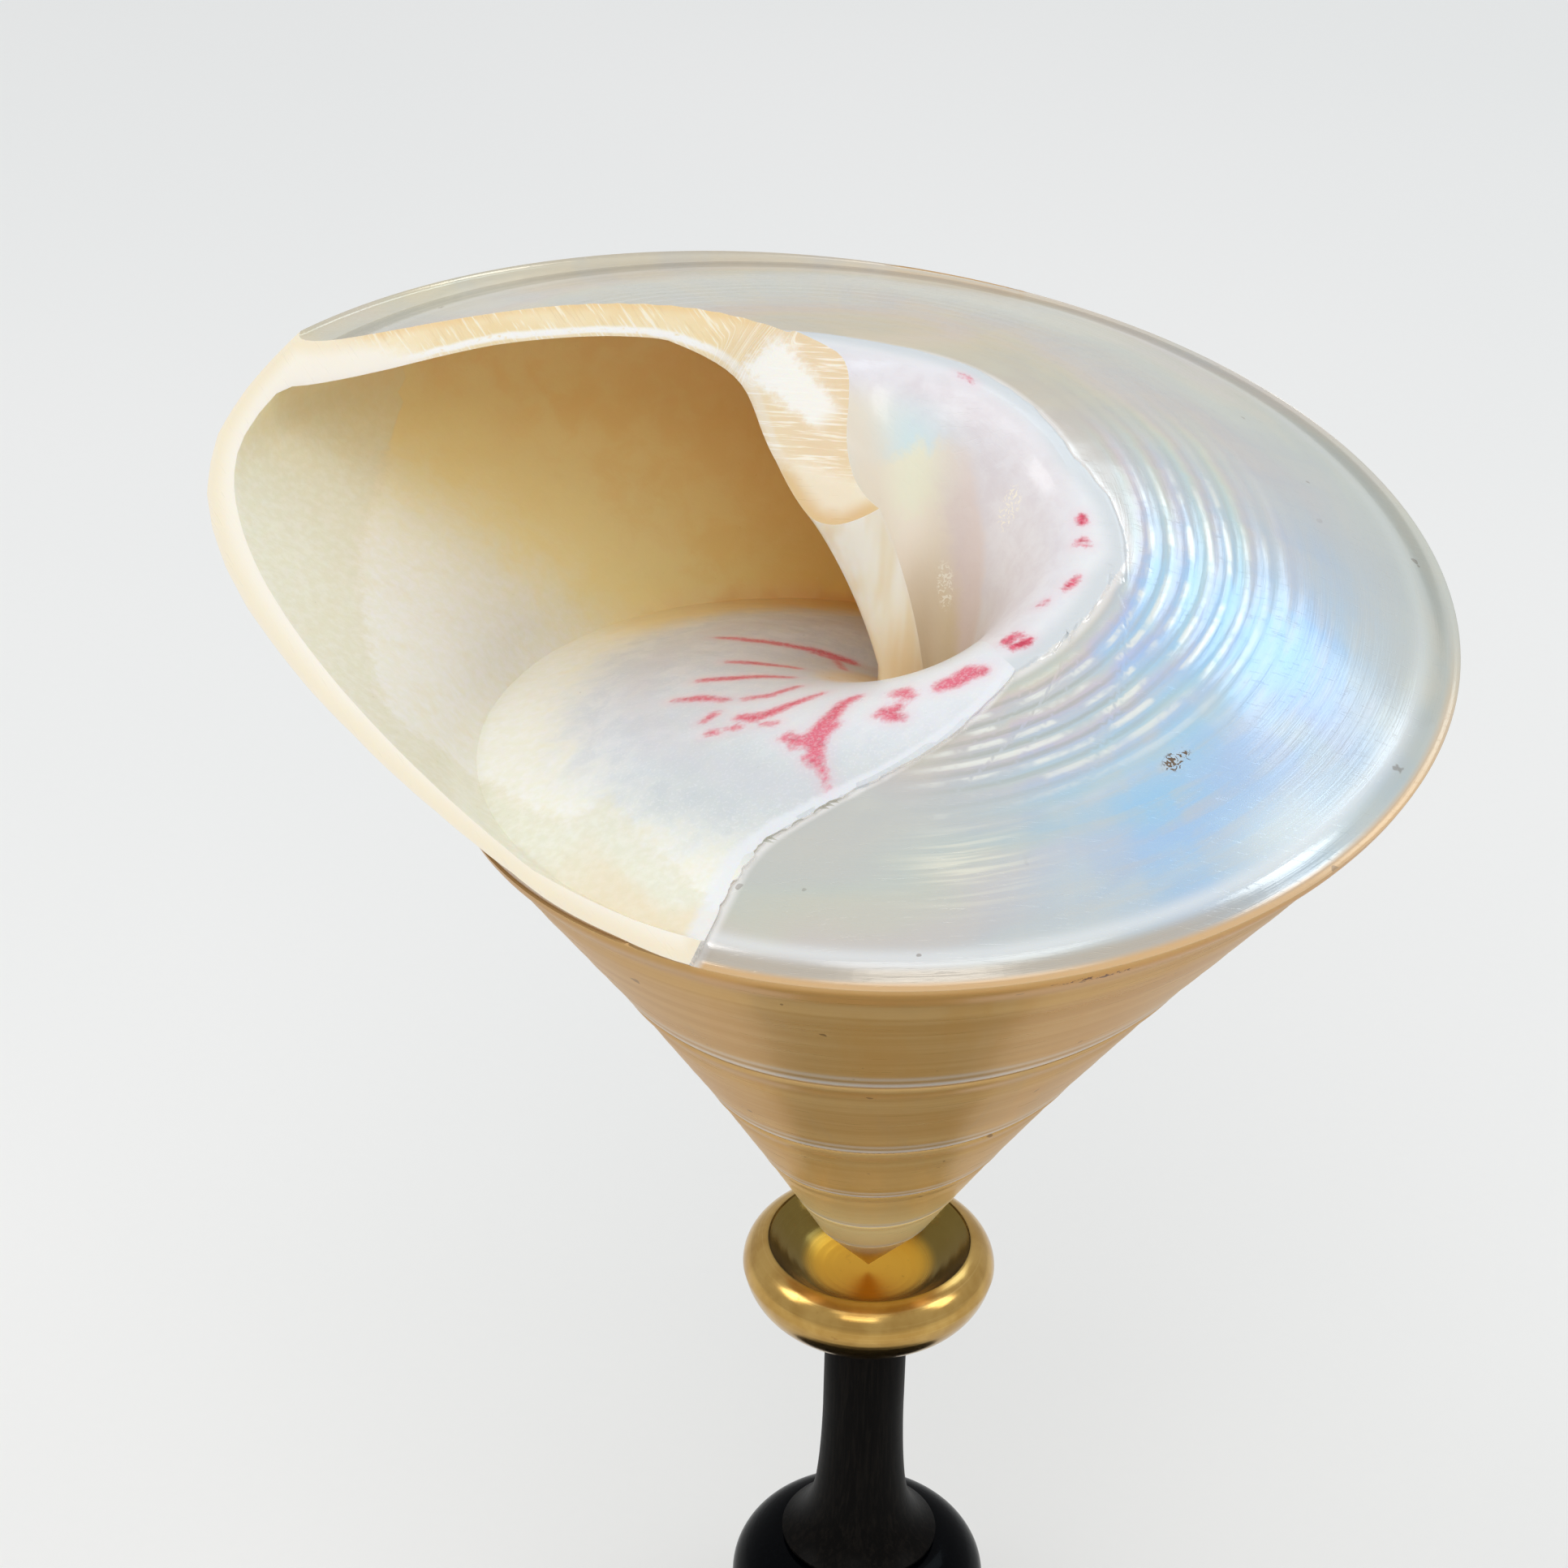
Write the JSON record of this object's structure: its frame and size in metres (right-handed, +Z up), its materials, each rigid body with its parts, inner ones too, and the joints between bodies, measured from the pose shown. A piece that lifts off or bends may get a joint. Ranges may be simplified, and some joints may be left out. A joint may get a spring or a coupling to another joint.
{
  "type": "mounted top shell",
  "caption": "Polished conical sea shell, its outer lip sawn back to show the pearly inside, standing point down in a brass cup on a turned black stand.",
  "frame": {"origin": "centre of the foot's underside, on the stand's axis", "axes": "+Z up the stand's axis; -Y is the side the sawn opening is seen from, with the opening to the -X side"},
  "size_m": [0.0987, 0.0868, 0.1573],
  "materials": {
    "nacre": "polished mother of pearl",
    "brass": "satin, lacquered",
    "satin_black": "satin black lacquer",
    "gloss_black": "gloss black lacquer",
    "gloss_black_foot": "gloss black lacquer"
  },
  "bodies": {
    "root": {"shell": "nacre", "brass_cup": "brass", "stem": "satin_black", "knop": "gloss_black", "foot": "gloss_black_foot"}
  },
  "joints": []
}
